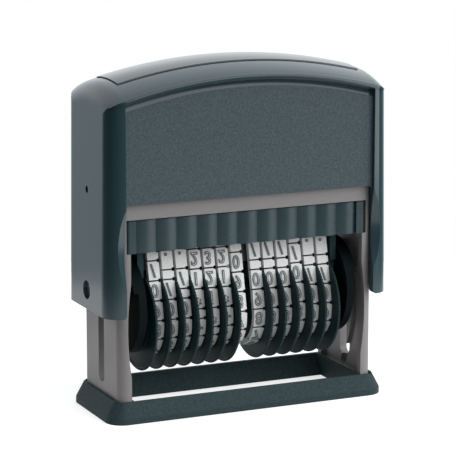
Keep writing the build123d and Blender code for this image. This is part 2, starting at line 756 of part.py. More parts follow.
# ---------------------------------------------------------------- thumb wheels and their bands
for index in range(left_wheels + right_wheels):
    on_left = index < left_wheels
    place = -pack_half + index * wheel_pitch + (0 if on_left else centre_spacer)
    flange_x = place if on_left else place + wheel_pitch - flange_thickness
    hub_x = place if on_left else place + band_side_gap
    band_x = place + band_side_gap + (flange_thickness if on_left else 0)

    with BuildPart() as thumb_wheel:
        with BuildSketch(across(hub_x)):
            with Locations((0, wheel_z)):
                Circle(inner_wheel - hub_gap)
        extrude(amount=wheel_pitch - band_side_gap)
        with BuildSketch(across(flange_x)):
            with Locations((0, wheel_z)):
                Circle(flange_radius)
        extrude(amount=flange_thickness)
        with BuildSketch(across(place)):
            with Locations((0, wheel_z)):
                Circle(shaft_radius + running_fit)
        extrude(amount=wheel_pitch, mode=Mode.SUBTRACT)
    thumb_wheel.part.label = f"thumb_wheel_{index + 1}"
    export_step(thumb_wheel.part, f"parts/thumb_wheel_{index + 1}.step")

    with BuildPart() as number_band:
        with BuildSketch(across(band_x)):
            with Locations((-corner_y, corner_centre_z), (corner_y, corner_centre_z)):
                Circle(platen_corner)
            with Locations((0, wheel_z)):
                Circle(band_radius)
            make_hull()
        extrude(amount=band_width)
        with BuildSketch(across(band_x)):
            with Locations((-corner_y, corner_centre_z), (corner_y, corner_centre_z)):
                Circle(inner_corner)
            with Locations((0, wheel_z)):
                Circle(inner_wheel)
            make_hull()
        extrude(amount=band_width, mode=Mode.SUBTRACT)
    number_band.part.label = f"number_band_{index + 1}"
    export_step(number_band.part, f"parts/number_band_{index + 1}.step")
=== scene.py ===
# %% [markdown]
# # A numbering machine with thirteen rubber bands
#
# This lesson dresses a finished mechanical model. The solid pieces come in from a packed file,
# already in place and in metres. Here they get their finishes, and the pieces whose charm lies in
# fine detail, such as the rubber bands and the serrated wheels, are made again as fine surfaces.

# %% Load the mechanical model
import math

import bpy
import numpy as np
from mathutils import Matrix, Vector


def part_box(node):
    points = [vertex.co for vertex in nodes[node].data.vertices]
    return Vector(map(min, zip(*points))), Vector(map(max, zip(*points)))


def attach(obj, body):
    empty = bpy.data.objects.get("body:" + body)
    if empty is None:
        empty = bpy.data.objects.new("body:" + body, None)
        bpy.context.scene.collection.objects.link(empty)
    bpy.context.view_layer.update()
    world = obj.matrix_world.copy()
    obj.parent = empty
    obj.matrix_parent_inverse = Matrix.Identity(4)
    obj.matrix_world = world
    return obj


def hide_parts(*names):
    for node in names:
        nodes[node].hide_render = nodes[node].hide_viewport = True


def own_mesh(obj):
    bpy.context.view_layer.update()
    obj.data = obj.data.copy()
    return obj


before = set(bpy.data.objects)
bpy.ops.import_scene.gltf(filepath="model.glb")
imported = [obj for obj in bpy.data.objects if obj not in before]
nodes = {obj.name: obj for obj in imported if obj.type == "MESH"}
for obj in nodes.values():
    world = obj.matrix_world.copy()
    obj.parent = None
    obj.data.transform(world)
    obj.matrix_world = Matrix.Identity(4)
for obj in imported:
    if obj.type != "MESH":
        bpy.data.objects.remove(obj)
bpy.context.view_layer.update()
scene = bpy.context.scene
MM = 0.001

# %% [markdown]
# ## The view
#
# The machine is seen from its left front, a little from above, with a long lens. A long lens
# stands far away and keeps upright edges nearly parallel, as in a catalogue picture. The camera
# is placed by two angles and a distance from the point that it looks at, which is easier to read
# than a matrix.

# %% Place the camera
VIEW_TURN = math.radians(-24.26)
VIEW_RISE = math.radians(11.6)
VIEW_DISTANCE = 616.96 * MM
LOOK_AT = np.array([-0.157, 0.0, 44.48]) * MM
LENS_LENGTH = 190.7
SENSOR_WIDTH = 36.0

toward_camera = np.array([
    math.sin(VIEW_TURN) * math.cos(VIEW_RISE),
    -math.cos(VIEW_TURN) * math.cos(VIEW_RISE),
    math.sin(VIEW_RISE),
])
camera_data = bpy.data.cameras.new("catalogue_camera")
camera_data.lens = LENS_LENGTH
camera_data.sensor_width = SENSOR_WIDTH
camera_data.clip_start = 0.05
camera_data.clip_end = 20.0
camera = bpy.data.objects.new("catalogue_camera", camera_data)
scene.collection.objects.link(camera)
camera.location = LOOK_AT + VIEW_DISTANCE * toward_camera
camera.rotation_euler = (math.pi / 2 - VIEW_RISE, 0.0, VIEW_TURN)
scene.camera = camera
print("camera at", [round(value, 3) for value in camera.location])

# %% [markdown]
# ## Light
#
# A dark glossy object is lit by what it mirrors. The world is a white tent: bright high behind
# the machine, weaker below and overhead, dark in front, where the camera stands, and closed by a
# dark curtain on the left. So the crown and the ends of the cap mirror white, while its upright
# fronts and rounded corners mirror the dark, as the faces of a polished object do in a studio.
# For the camera the world is white. A large soft box at the upper right front lights the lips
# and the figures, and a low card at the right front gives the flutes and the right-hand pillar
# their sheen.

# %% Helpers for shader nodes
def add_node(tree, kind, settings=None, **sockets):
    """Adds a shader node, sets its settings, and fills its sockets with values or links."""
    node = tree.nodes.new(kind)
    for name, value in (settings or {}).items():
        setattr(node, name, value)
    for name, value in sockets.items():
        key = int(name[1:]) if name[0] == "_" else name.replace("_", " ")
        if isinstance(value, bpy.types.NodeSocket):
            tree.links.new(value, node.inputs[key])
        else:
            node.inputs[key].default_value = value
    return node


def math_node(tree, operation, first, second=0.0, third=0.0):
    """One step of arithmetic on a value."""
    return add_node(
        tree, "ShaderNodeMath", {"operation": operation}, _0=first, _1=second, _2=third
    ).outputs[0]


def soft_step(tree, value, start, end, low, high):
    """Rises from low to high along an S-shaped curve while the value goes from start to end."""
    return add_node(
        tree, "ShaderNodeMapRange", {"interpolation_type": "SMOOTHSTEP"},
        Value=value, _1=start, _2=end, _3=low, _4=high,
    ).outputs[0]


def mix_tones(tree, share, first, second):
    """A colour between two others, by the share of the second."""
    return add_node(
        tree, "ShaderNodeMix", {"data_type": "RGBA"}, _0=share, _6=first, _7=second
    ).outputs[2]


# %% [markdown]
# The tent is worked out from the direction in which a ray leaves. Each part of it is a soft step
# along one axis, given by where the step starts and ends and by how bright it is before and after.

# %% Build the white tent
BEHIND = (-0.15, 0.75, 0.06, 1.0)
RAISED = (-0.25, 0.3, 0.6, 1.42)
OVERHEAD = (0.0, 0.45, 0.0, 0.5)
CURTAIN = (-0.85, -0.42, 0.15, 1.0)

world = bpy.data.worlds.new("studio")
world.use_nodes = True
scene.world = world
tree = world.node_tree
tree.nodes.clear()
coordinates = add_node(tree, "ShaderNodeTexCoord")
direction = add_node(tree, "ShaderNodeSeparateXYZ", Vector=coordinates.outputs["Generated"])
behind = soft_step(tree, direction.outputs["Y"], *BEHIND)
raised = soft_step(tree, direction.outputs["Z"], *RAISED)
overhead = soft_step(tree, direction.outputs["Z"], *OVERHEAD)
curtain = soft_step(tree, direction.outputs["X"], *CURTAIN)
backdrop = math_node(tree, "MULTIPLY", behind, raised)
tent = math_node(tree, "MAXIMUM", backdrop, overhead)
tent = math_node(tree, "MULTIPLY", tent, curtain)
print("brightest part of the tent:", RAISED[-1] * BEHIND[-1])

# %% Tint the tent and show the camera plain white
LOW_TINT = (0.86, 1.10, 1.20, 1.0)
HIGH_TINT = (0.95, 0.98, 1.0, 1.0)
WHITE = (1.0, 1.0, 1.0, 1.0)

height = math_node(tree, "DIVIDE", raised, RAISED[-1])
tint = mix_tones(tree, height, LOW_TINT, HIGH_TINT)
light_path = add_node(tree, "ShaderNodeLightPath")
not_seen = math_node(tree, "SUBTRACT", 1.0, light_path.outputs["Is Camera Ray"])
room = add_node(tree, "ShaderNodeBackground", Color=tint, Strength=tent)
white = add_node(tree, "ShaderNodeBackground", Color=WHITE, Strength=1.0)
shown = add_node(
    tree, "ShaderNodeMixShader", _0=not_seen, _1=white.outputs[0], _2=room.outputs[0]
)
add_node(tree, "ShaderNodeOutputWorld", Surface=shown.outputs[0])
scene.view_settings.view_transform = "Standard"
print("nodes in the world:", len(tree.nodes))

# %% Hang the soft boxes
MIDDLE = (0.0, 0.0, 0.045)


def soft_box(name, place, width, height, power):
    """A rectangular area light at a place, turned so that its face looks at the machine."""
    data = bpy.data.lights.new(name, "AREA")
    data.shape = "RECTANGLE"
    data.size, data.size_y = width, height
    data.energy = power
    lamp = bpy.data.objects.new(name, data)
    scene.collection.objects.link(lamp)
    lamp.location = place
    away = np.array(place) - np.array(MIDDLE)
    away = away / np.linalg.norm(away)
    lamp.rotation_euler = (math.acos(away[2]), 0.0, math.atan2(away[1], away[0]) + math.pi / 2)
    return lamp


soft_box("key_box", (0.52, -0.62, 0.68), width=1.3, height=1.1, power=8.6)
soft_box("side_card", (0.56, -0.50, 0.10), width=0.56, height=0.38, power=1.8)

# %% [markdown]
# ## The table
#
# The table is one pale round sheet, just large enough to stand on. A small one is chosen because
# upright polished faces mirror what lies low in front of them. To the camera it is white where
# nothing shades it, because a part of its white is its own glow for camera, mirror and glass
# rays. The rest is lit as paper is, so the soft shadow under the foot stays.

# %% Lay the table
TABLE_RADIUS = 0.17
TABLE_CORNERS = 96

table_mesh = bpy.data.meshes.new("table")
rim_angle = np.linspace(0.0, 2 * math.pi, TABLE_CORNERS, endpoint=False)
table_rim = TABLE_RADIUS * np.stack([np.cos(rim_angle), np.sin(rim_angle), 0 * rim_angle], axis=1)
table_mesh.from_pydata(table_rim.tolist(), [], [list(range(TABLE_CORNERS))])
table = bpy.data.objects.new("table", table_mesh)
scene.collection.objects.link(table)
print("table across in mm:", round(2 * TABLE_RADIUS / MM))

# %% Make the table's paper
PAPER_TONE = (0.72, 0.72, 0.72, 1.0)
PAPER_GLOW = 0.6

paper = bpy.data.materials.new("table_paper")
paper.use_nodes = True
tree = paper.node_tree
tree.nodes.clear()
light_path = add_node(tree, "ShaderNodeLightPath")
seen = light_path.outputs["Is Camera Ray"]
for ray in ("Is Glossy Ray", "Is Transmission Ray"):
    seen = math_node(tree, "MAXIMUM", seen, light_path.outputs[ray])
strength = math_node(tree, "MULTIPLY", seen, PAPER_GLOW)
lit_paper = add_node(tree, "ShaderNodeBsdfDiffuse", Color=PAPER_TONE)
glow = add_node(tree, "ShaderNodeEmission", Color=WHITE, Strength=strength)
surface = add_node(tree, "ShaderNodeAddShader", _0=lit_paper.outputs[0], _1=glow.outputs[0])
add_node(tree, "ShaderNodeOutputMaterial", Surface=surface.outputs[0])
table_mesh.materials.append(paper)
print("nodes in the paper:", len(tree.nodes))

# %% [markdown]
# ## Shared finishes
#
# Two effects turn up on nearly every piece, so each is built once as a node group. Mould grain is
# the fine spark-eroded texture of a plastic tool: a tiny bump and a faint change of tone. Handling
# is the uneven shine that fingers leave: a slow, cloudy change of roughness.

# %% Build the mould grain group
def new_group(name, inputs, outputs):
    """A shader node group with named sockets, and its input and output nodes."""
    group = bpy.data.node_groups.new(name, "ShaderNodeTree")
    for label, kind, value in inputs:
        socket = group.interface.new_socket(label, in_out="INPUT", socket_type=kind)
        if value is not None:
            socket.default_value = value
    for label, kind in outputs:
        group.interface.new_socket(label, in_out="OUTPUT", socket_type=kind)
    return group, group.nodes.new("NodeGroupInput"), group.nodes.new("NodeGroupOutput")


grain_group, given, result = new_group(
    "mould_grain",
    [("Position", "NodeSocketVector", None), ("Base", "NodeSocketColor", (0.1, 0.1, 0.1, 1.0)),
     ("Scale", "NodeSocketFloat", 2500.0), ("Contrast", "NodeSocketFloat", 0.15)],
    [("Color", "NodeSocketColor"), ("Height", "NodeSocketFloat")],
)
speckle = add_node(
    grain_group, "ShaderNodeTexNoise",
    Vector=given.outputs["Position"], Scale=given.outputs["Scale"], Detail=2.0, Roughness=0.6,
)
centred = math_node(grain_group, "SUBTRACT", speckle.outputs["Fac"], 0.5)
swing = math_node(grain_group, "MULTIPLY", centred, given.outputs["Contrast"])
gain = math_node(grain_group, "MULTIPLY_ADD", swing, 2.0, 1.0)
toned = add_node(
    grain_group, "ShaderNodeVectorMath", {"operation": "SCALE"},
    Vector=given.outputs["Base"], Scale=gain,
)
grain_group.links.new(toned.outputs[0], result.inputs["Color"])
grain_group.links.new(speckle.outputs["Fac"], result.inputs["Height"])
print("nodes in the grain group:", len(grain_group.nodes))

# %% Build the handling group
CLOUD_RANGE = (0.3, 0.7)

handling_group, given, result = new_group(
    "handling",
    [("Position", "NodeSocketVector", None), ("Low", "NodeSocketFloat", 0.2),
     ("High", "NodeSocketFloat", 0.35), ("Scale", "NodeSocketFloat", 60.0)],
    [("Roughness", "NodeSocketFloat")],
)
clouds = add_node(
    handling_group, "ShaderNodeTexNoise",
    Vector=given.outputs["Position"], Scale=given.outputs["Scale"], Detail=3.0,
)
spread = add_node(
    handling_group, "ShaderNodeMapRange",
    Value=clouds.outputs["Fac"], _1=CLOUD_RANGE[0], _2=CLOUD_RANGE[1],
    _3=given.outputs["Low"], _4=given.outputs["High"],
)
handling_group.links.new(spread.outputs[0], result.inputs["Roughness"])
print("groups:", [group.name for group in bpy.data.node_groups])

# %% Write a recipe for plain moulded plastics
GRAIN_DEPTH = 0.1 * MM


def start_material(name):
    """An empty material with its shader and its object coordinates."""
    material = bpy.data.materials.new(name)
    material.use_nodes = True
    tree = material.node_tree
    tree.nodes.clear()
    shader = add_node(tree, "ShaderNodeBsdfPrincipled")
    add_node(tree, "ShaderNodeOutputMaterial", Surface=shader.outputs[0])
    position = add_node(tree, "ShaderNodeTexCoord").outputs["Object"]
    return material, tree, shader, position


def place_group(tree, group, **sockets):
    """Puts a shared group into a material with its own values."""
    return add_node(tree, "ShaderNodeGroup", {"node_tree": group}, **sockets)


def relief_node(tree, strength, height):
    """Turns a height into a bump that is as deep as the grain at full strength."""
    return add_node(
        tree, "ShaderNodeBump", Strength=strength, Distance=GRAIN_DEPTH, Height=height
    ).outputs[0]


def connect(tree, shader, **sources):
    """Links what changes over the surface to the shader's sockets of those names."""
    for name, source in sources.items():
        tree.links.new(source, shader.inputs[name.replace("_", " ")])


def moulded(
    name, tone, low, high, grain=2500.0, contrast=0.15, bump=0.04, metallic=0.0, specular=0.5
):
    """A moulded or turned finish: tone, the range of its roughness, and its grain."""
    material, tree, shader, position = start_material(name)
    texture = place_group(
        tree, grain_group, Position=position, Base=(*tone, 1.0), Scale=grain, Contrast=contrast
    )
    marks = place_group(tree, handling_group, Position=position, Low=low, High=high)
    relief = relief_node(tree, bump, texture.outputs["Height"])
    connect(
        tree, shader, Base_Color=texture.outputs["Color"],
        Roughness=marks.outputs["Roughness"], Normal=relief,
    )
    shader.inputs["Metallic"].default_value = metallic
    shader.inputs["Specular IOR Level"].default_value = specular
    return material


def finish_node(name, material):
    """Gives a mechanical piece its finish, in all its slots."""
    piece = nodes[name]
    for slot in piece.material_slots:
        slot.material = material


# %% [markdown]
# ## The cap
#
# The cap is moulded in one shot: polished ends, pillars and lips, with a textured panel at the
# front and the back. The two finishes share one mesh, so a mask tells them apart. It is worked
# out from the place on the piece: the panels are the only surfaces that lie at one depth and
# between the pillars.

# %% Mask the cap's panels
PANEL_DEPTH = 13.8 * MM
PANEL_TOLERANCE = 0.05 * MM
PANEL_REACH = 33.95 * MM

cap_material, tree, shader, position = start_material("cap_slate")
axes = add_node(tree, "ShaderNodeSeparateXYZ", Vector=position)
depth = math_node(tree, "ABSOLUTE", axes.outputs["Y"])
reach = math_node(tree, "ABSOLUTE", axes.outputs["X"])
off_panel = math_node(tree, "ABSOLUTE", math_node(tree, "SUBTRACT", depth, PANEL_DEPTH))
at_depth = math_node(tree, "LESS_THAN", off_panel, PANEL_TOLERANCE)
between = math_node(tree, "LESS_THAN", reach, PANEL_REACH)
panel = math_node(tree, "MULTIPLY", at_depth, between)
print("panel from side to side in mm:", round(2 * PANEL_REACH / MM, 1))

# %% Finish the cap
POLISHED_SLATE = (0.026, 0.056, 0.067, 1.0)
PANEL_SLATE = (0.036, 0.061, 0.072, 1.0)
PANEL_ROUGHNESS = 0.55
PANEL_BUMP = 0.35

polished = place_group(
    tree, grain_group, Position=position, Base=POLISHED_SLATE, Scale=900.0, Contrast=0.05
)
eroded = place_group(
    tree, grain_group, Position=position, Base=PANEL_SLATE, Scale=1800.0, Contrast=0.9
)
tone = mix_tones(tree, panel, polished.outputs["Color"], eroded.outputs["Color"])
marks = place_group(tree, handling_group, Position=position, Low=0.12, High=0.2, Scale=45.0)
roughness = add_node(
    tree, "ShaderNodeMix", _0=panel, _2=marks.outputs["Roughness"], _3=PANEL_ROUGHNESS
)
grain_height = math_node(tree, "MULTIPLY", eroded.outputs["Height"], panel)
relief = relief_node(tree, PANEL_BUMP, grain_height)
connect(tree, shader, Base_Color=tone, Roughness=roughness.outputs[0], Normal=relief)
finish_node("cap_shell", cap_material)
print("nodes in the cap's finish:", len(tree.nodes))

# %% [markdown]
# ## The other moulded pieces
#
# The frame is a warm grey, the foot and the cartridge a dark slate, and the inside of the print
# unit is nearly black. The cover is the shiniest piece, so its roughness is low and even.

# %% Mix the other finishes
grey_frame = moulded("frame_grey", (0.228, 0.216, 0.216), 0.38, 0.5, contrast=0.1)
dark_foot = moulded(
    "foot_slate", (0.034, 0.056, 0.061), 0.5, 0.6, grain=1800.0, contrast=0.6, specular=0.1
)
dark_grip = moulded("grip_slate", (0.023, 0.048, 0.057), 0.26, 0.33, contrast=0.12)
shiny_cover = moulded(
    "cover_slate", (0.020, 0.036, 0.042), 0.07, 0.11, grain=600.0, contrast=0.04, bump=0.0
)
unit_black = moulded("unit_black", (0.006, 0.013, 0.015), 0.35, 0.5, specular=0.3)
wheel_black = moulded(
    "wheel_slate", (0.012, 0.032, 0.036), 0.45, 0.55, contrast=0.9, specular=0.12
)
turned_steel = moulded("turned_steel", (0.56, 0.55, 0.53), 0.25, 0.35, metallic=1.0)
spring_steel = moulded("spring_wire", (0.48, 0.47, 0.46), 0.2, 0.3, metallic=1.0)
dark_card = moulded("index_card", (0.05, 0.05, 0.05), 0.7, 0.8)
inked_felt = moulded(
    "inked_felt", (0.012, 0.010, 0.022), 0.75, 0.95, grain=1500.0, contrast=0.4, bump=0.5
)
print("materials:", len(bpy.data.materials))

# %% Finish the moulded and turned pieces
FINISHES = {
    "lower_frame": grey_frame,
    "base_foot": dark_foot,
    "ink_cartridge": dark_grip,
    "index_cover": shiny_cover,
    "index_card": dark_card,
    "ink_pad": inked_felt,
    "platen": unit_black,
    "shaft_spacer": unit_black,
    "wheel_shaft": turned_steel,
    "pivot_axle_left": turned_steel,
    "pivot_axle_right": turned_steel,
    "guide_pin_left": turned_steel,
    "guide_pin_right": turned_steel,
}
for name, material in FINISHES.items():
    finish_node(name, material)
print("pieces finished:", len(FINISHES))

# %% [markdown]
# ## The side arms
#
# A side arm is a slate head beside the bands with a dark plate outside it. The plate's near-black
# tone is partly its own and partly painted shade, because the plate lies in shadow. The plate
# starts at one distance from the middle of the machine, so that distance is the mask between the
# two.

# %% Finish the side arms
PLATE_REACH = 27.65 * MM
HEAD_SLATE = (0.030, 0.060, 0.066, 1.0)
PLATE_SHADE_BLACK = (0.003, 0.006, 0.007, 1.0)

arm_material, tree, shader, position = start_material("arm_slate")
axes = add_node(tree, "ShaderNodeSeparateXYZ", Vector=position)
reach = math_node(tree, "ABSOLUTE", axes.outputs["X"])
# Painted shade: past this reach the tone is near black, the plate's own dark colour plus the shadow
# on it.
plate = math_node(tree, "GREATER_THAN", reach, PLATE_REACH)
tone = mix_tones(tree, plate, HEAD_SLATE, PLATE_SHADE_BLACK)
texture = place_group(tree, grain_group, Position=position, Base=tone, Contrast=0.3)
marks = place_group(tree, handling_group, Position=position, Low=0.5, High=0.65)
connect(
    tree, shader, Base_Color=texture.outputs["Color"], Roughness=marks.outputs["Roughness"]
)
shader.inputs["Specular IOR Level"].default_value = 0.05
for name in ("side_arm_left", "side_arm_right"):
    finish_node(name, arm_material)
print("nodes in the arms' finish:", len(tree.nodes))

# %% [markdown]
# ## Making a mesh from arrays
#
# Every new piece is a grid: rows along a path or round an axis, columns along a profile. The
# helper turns such an array of points into a closed mesh, because a grid whose rows and columns
# both come round to where they started has neither an edge nor a hole.

# %% Helpers for grids
def grid_faces(rows, columns, closed_rows, closed_columns):
    """Index quads of a grid; a closed direction joins its last line to its first."""
    row = np.arange(rows if closed_rows else rows - 1)
    column = np.arange(columns if closed_columns else columns - 1)
    here_row, here_column = np.meshgrid(row, column, indexing="ij")
    next_row, next_column = (here_row + 1) % rows, (here_column + 1) % columns
    quads = np.stack([
        here_row * columns + here_column, here_row * columns + next_column,
        next_row * columns + next_column, next_row * columns + here_column,
    ], axis=-1)
    return quads.reshape(-1, 4)


def mesh_object(name, points, faces, materials, slots=None, flat=32.0):
    """A mesh object from points and faces, sharp at edges that turn by more than an angle."""
    mesh = bpy.data.meshes.new(name)
    mesh.from_pydata(points.tolist(), [], faces)
    for material in materials:
        mesh.materials.append(material)
    if slots is not None:
        mesh.polygons.foreach_set("material_index", slots.astype(np.int32))
    mesh.polygons.foreach_set("use_smooth", np.ones(len(mesh.polygons), bool))
    mesh.set_sharp_from_angle(angle=math.radians(flat))
    piece = bpy.data.objects.new(name, mesh)
    scene.collection.objects.link(piece)
    return piece


# %% [markdown]
# ## The rubber bands
#
# Each band runs round the platen at the top and round its wheel at the bottom. The path is the
# line that a string would take round three circles. On such a line every direction of the normal
# belongs to the circle that reaches furthest that way, and that gives the path without solving
# for tangents.

# %% Measure the wheel and the band
BAND_THICKNESS = 1.6 * MM
CORNER_RADIUS = 2.2 * MM
CORNER_Y = 5.6 * MM - CORNER_RADIUS

wheel_low, wheel_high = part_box("thumb_wheel_1")
band_low, band_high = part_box("number_band_1")
WHEEL_Z = (wheel_low.z + wheel_high.z) / 2
RIM_RADIUS = (wheel_high.z - wheel_low.z) / 2
BAND_RADIUS = (band_high.y - band_low.y) / 2
PRINT_Z = band_high.z
print("radii of wheel and band in mm:", [round(r / MM, 2) for r in (RIM_RADIUS, BAND_RADIUS)])

# %% Work out the path of a band
PATH_STEPS = 3600

corner_z = PRINT_Z - CORNER_RADIUS
centres = np.array([[-CORNER_Y, corner_z], [CORNER_Y, corner_z], [0.0, WHEEL_Z]])
radii = np.array([CORNER_RADIUS, CORNER_RADIUS, BAND_RADIUS]) - BAND_THICKNESS
turn = np.linspace(0.0, 2 * math.pi, PATH_STEPS, endpoint=False) + math.pi / 2
normals = np.stack([np.cos(turn), np.sin(turn)], axis=1)
furthest = (centres @ normals.T + radii[:, None]).argmax(axis=0)
inner_path = centres[furthest] + radii[furthest, None] * normals
outer_path = inner_path + BAND_THICKNESS * normals
steps = np.linalg.norm(np.roll(outer_path, -1, axis=0) - outer_path, axis=1)
run = np.concatenate([[0.0], np.cumsum(steps)])
LOOP = run[-1]
print("length round the figures in mm:", round(LOOP / MM, 2))


def on_path(distance):
    """Point on the band's inside, and the outward normal, at distances along its outside.

    The distance is measured from the front corner of the print face and runs down the front.
    """
    ring = np.append(np.arange(len(turn)), 0)
    place = np.mod(distance, LOOP)
    point = np.stack([np.interp(place, run, inner_path[ring, axis]) for axis in (0, 1)], axis=-1)
    normal = np.stack([np.interp(place, run, normals[ring, axis]) for axis in (0, 1)], axis=-1)
    return point, normal / np.linalg.norm(normal, axis=-1, keepdims=True)


# %% [markdown]
# The rubber is pale and matt. The flanks of the figures and the grooves between the blocks take
# darker tones of the same rubber, a painted shade where shadow falls on them, so the bands take
# three tones of one rubber.

# %% Mix the rubber
def rubber(name, tone, contrast):
    """Matt rubber with a mottled tone and a soft grain."""
    material, tree, shader, position = start_material(name)
    texture = place_group(
        tree, grain_group, Position=position, Base=(*tone, 1.0), Scale=1400.0, Contrast=contrast
    )
    relief = relief_node(tree, 0.25, texture.outputs["Height"])
    connect(tree, shader, Base_Color=texture.outputs["Color"], Normal=relief)
    shader.inputs["Roughness"].default_value = 0.6
    return material


band_rubber = rubber("band_rubber", (0.80, 0.805, 0.80), 0.14)
# Painted shade: the two dark tones below stand for the shadow on the figures' flanks and in the
# grooves.
flank_shade_rubber = rubber("flank_shade_rubber", (0.10, 0.115, 0.12), 0.3)
groove_shade_black = rubber("groove_shade_black", (0.010, 0.014, 0.016), 0.2)
print("rubbers:", [finish.name for finish in (band_rubber, flank_shade_rubber, groove_shade_black)])

# %% [markdown]
# A band is a strap with blocks on it: sixteen blocks that carry a figure, and one half block
# without. So its outside is a step-shaped wave. Each block has a deep square nick at its
# right-hand side, where the teeth of the wheel reach through. A band is turned until its figure
# is in place, so the half block starts somewhere else on each.

# %% Divide a band into blocks
BANDS = 13
BLOCKS = 16
BLANK = 2.45 * MM
PITCH = (LOOP - BLANK) / BLOCKS
BLANK_START = [4.1, 9.1, 14.2, 19.7, 24.8, 29.9, 3.9, 8.75, 8.8, 8.9, 3.0, 8.95, 9.05]


def block_starts(index):
    """Where the half block and then the figure blocks of a band start, along its path."""
    first = BLANK_START[index - 1] * MM
    return first + np.concatenate([[0.0], BLANK + PITCH * np.arange(BLOCKS)])


print("length of a block in mm:", round(PITCH / MM, 2))

# %% Work out the wave of the blocks
EDGE = 0.05 * MM
WALL_STEP = 0.01 * MM
TOP_STATIONS = 5


def height_profile(starts, lengths, gap, low, high):
    """Distances and heights of a wave that is high on each block and low in each gap.

    Each block gives stations at its gap's floor, up its wall, over its bevelled edge and along
    its top, so a wall is a step of a hundredth of a millimetre.
    """
    offsets = np.array([0.0, WALL_STEP, WALL_STEP + EDGE])
    levels = np.array([low, high - EDGE, high])
    top_share = np.linspace(0.0, 1.0, TOP_STATIONS + 2)[1:-1]
    first = gap / 2 + offsets
    distance = []
    height = []
    for start, length in zip(starts, lengths):
        last = length - first[::-1]
        middle = first[-1] + top_share * (last[0] - first[-1])
        distance.append(start + np.concatenate([first, middle, last]))
        height.append(np.concatenate([levels, np.full(len(middle), high), levels[::-1]]))
    return np.concatenate(distance), np.concatenate(height)


# %% Shape the bands
GAP = 0.34 * MM
NICK_LENGTH = 0.85 * MM
NICK_WIDTH = 0.55 * MM
NICK_FLOOR = 0.3 * MM
STRAP = 0.55 * MM
BLOCK_TOP = BAND_THICKNESS - 0.22 * MM
BLOCK_COLUMNS = slice(4, 7)
NICK_COLUMNS = slice(1, 5)


def low_half(height, low, high):
    """Where the middle between a station and the next lies nearer to the low than to the high."""
    return (height + np.roll(height, -1)) / 2 < (low + high) / 2


def make_band(index):
    """A strap with blocks, as a profile of eight points carried round the path."""
    low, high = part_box(f"number_band_{index}")
    left, right = low.x, high.x
    starts = block_starts(index)
    lengths = np.concatenate([[BLANK], np.full(BLOCKS, PITCH)])
    distance, block = height_profile(starts, lengths, GAP, STRAP, BLOCK_TOP)
    nick_distance, nick = height_profile(starts, lengths, NICK_LENGTH, NICK_FLOOR, BLOCK_TOP)
    stations = np.unique(np.round(np.concatenate([distance, nick_distance]), 9))
    block = np.interp(stations, distance, block)
    nick = np.minimum(np.interp(stations, nick_distance, nick), block)
    inside, normal = on_path(stations)
    seam = right - NICK_WIDTH
    profile = [
        (left, 0 * block), (right, 0 * block), (right, nick - EDGE), (right - EDGE, nick),
        (seam, nick), (seam - WALL_STEP, block), (left + EDGE, block), (left, block - EDGE),
    ]
    across = np.stack([np.full_like(block, x) for x, _ in profile], axis=1)
    out = np.stack([rise for _, rise in profile], axis=1)
    points = np.empty(across.shape + (3,))
    points[..., 0] = across
    points[..., 1:] = inside[:, None, :] + out[..., None] * normal[:, None, :]
    rows, columns = across.shape
    quads = grid_faces(rows, columns, True, True)[:, ::-1]
    # Painted shade: the low faces of the grooves and the nicks take the near-black rubber.
    dark = np.zeros((rows, columns), int)
    dark[:, BLOCK_COLUMNS][low_half(block, STRAP, BLOCK_TOP)] = 1
    dark[:, NICK_COLUMNS][low_half(nick, NICK_FLOOR, BLOCK_TOP)] = 1
    piece = mesh_object(
        f"band_{index}", points.reshape(-1, 3), quads.tolist(),
        [band_rubber, groove_shade_black], dark.ravel(),
    )
    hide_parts(f"number_band_{index}")
    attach(piece, "print_unit")
    return piece


bands = [make_band(index) for index in range(1, BANDS + 1)]
print("faces in a band:", len(bands[0].data.polygons))

# %% [markdown]
# ## The figures
#
# Each block carries a raised figure, as mirror writing. A text object gives the outline of a
# figure once. As a mesh it is a thick sheet with sloping flanks, and the path bends that sheet
# round the band. So the same ten figures and six signs serve all thirteen bands.

# %% Turn figures into sheets
SIGNS = "0987654321*+-,./"
STROKE_GAIN = 0.030
FLANK = 0.065
SHEET_HALF = 0.5


def figure_sheet(sign):
    """Points and triangles of one figure, as a thick sheet: x across, y up, z out of the block."""
    curve = bpy.data.curves.new(f"sign_{ord(sign)}", "FONT")
    curve.body = sign
    curve.align_x = "CENTER"
    curve.extrude = SHEET_HALF - FLANK
    curve.bevel_depth = FLANK
    curve.bevel_resolution = 0
    curve.offset = STROKE_GAIN - FLANK
    curve.resolution_u = 3
    text = bpy.data.objects.new(curve.name, curve)
    scene.collection.objects.link(text)
    bpy.context.view_layer.update()
    finished = text.evaluated_get(bpy.context.evaluated_depsgraph_get())
    mesh = bpy.data.meshes.new_from_object(finished)
    mesh.calc_loop_triangles()
    points = np.empty(len(mesh.vertices) * 3)
    mesh.vertices.foreach_get("co", points)
    triangles = np.empty(len(mesh.loop_triangles) * 3, np.int32)
    mesh.loop_triangles.foreach_get("vertices", triangles)
    bpy.data.objects.remove(text)
    bpy.data.meshes.remove(mesh)
    return points.reshape(-1, 3), triangles.reshape(-1, 3)


sheets = {sign: figure_sheet(sign) for sign in SIGNS}
digit_points = sheets["0"][0]
digit_low, digit_high = digit_points.min(axis=0), digit_points.max(axis=0)
print("outline points of a zero:", len(digit_points))

# %% [markdown]
# The path runs down the front of a band, so a figure that is laid along it stands on its head
# there, as a mirror image. The flanks of a figure are told from its top by their height, and take
# the dark rubber, which paints the shade along the sides of each figure.

# %% Bend the figures round the bands
FIRST_SIGN = [15, 15, 0, 11, 11, 13, 0, 0, 0, 0, 15, 15, 15]
FIGURE_HEIGHT = 3.5 * MM
FIGURE_WIDTH = 1.95 * MM
FIGURE_RISE = BAND_THICKNESS - BLOCK_TOP
FIGURE_ROOT = 0.05 * MM
TOP_LEVEL = 0.499


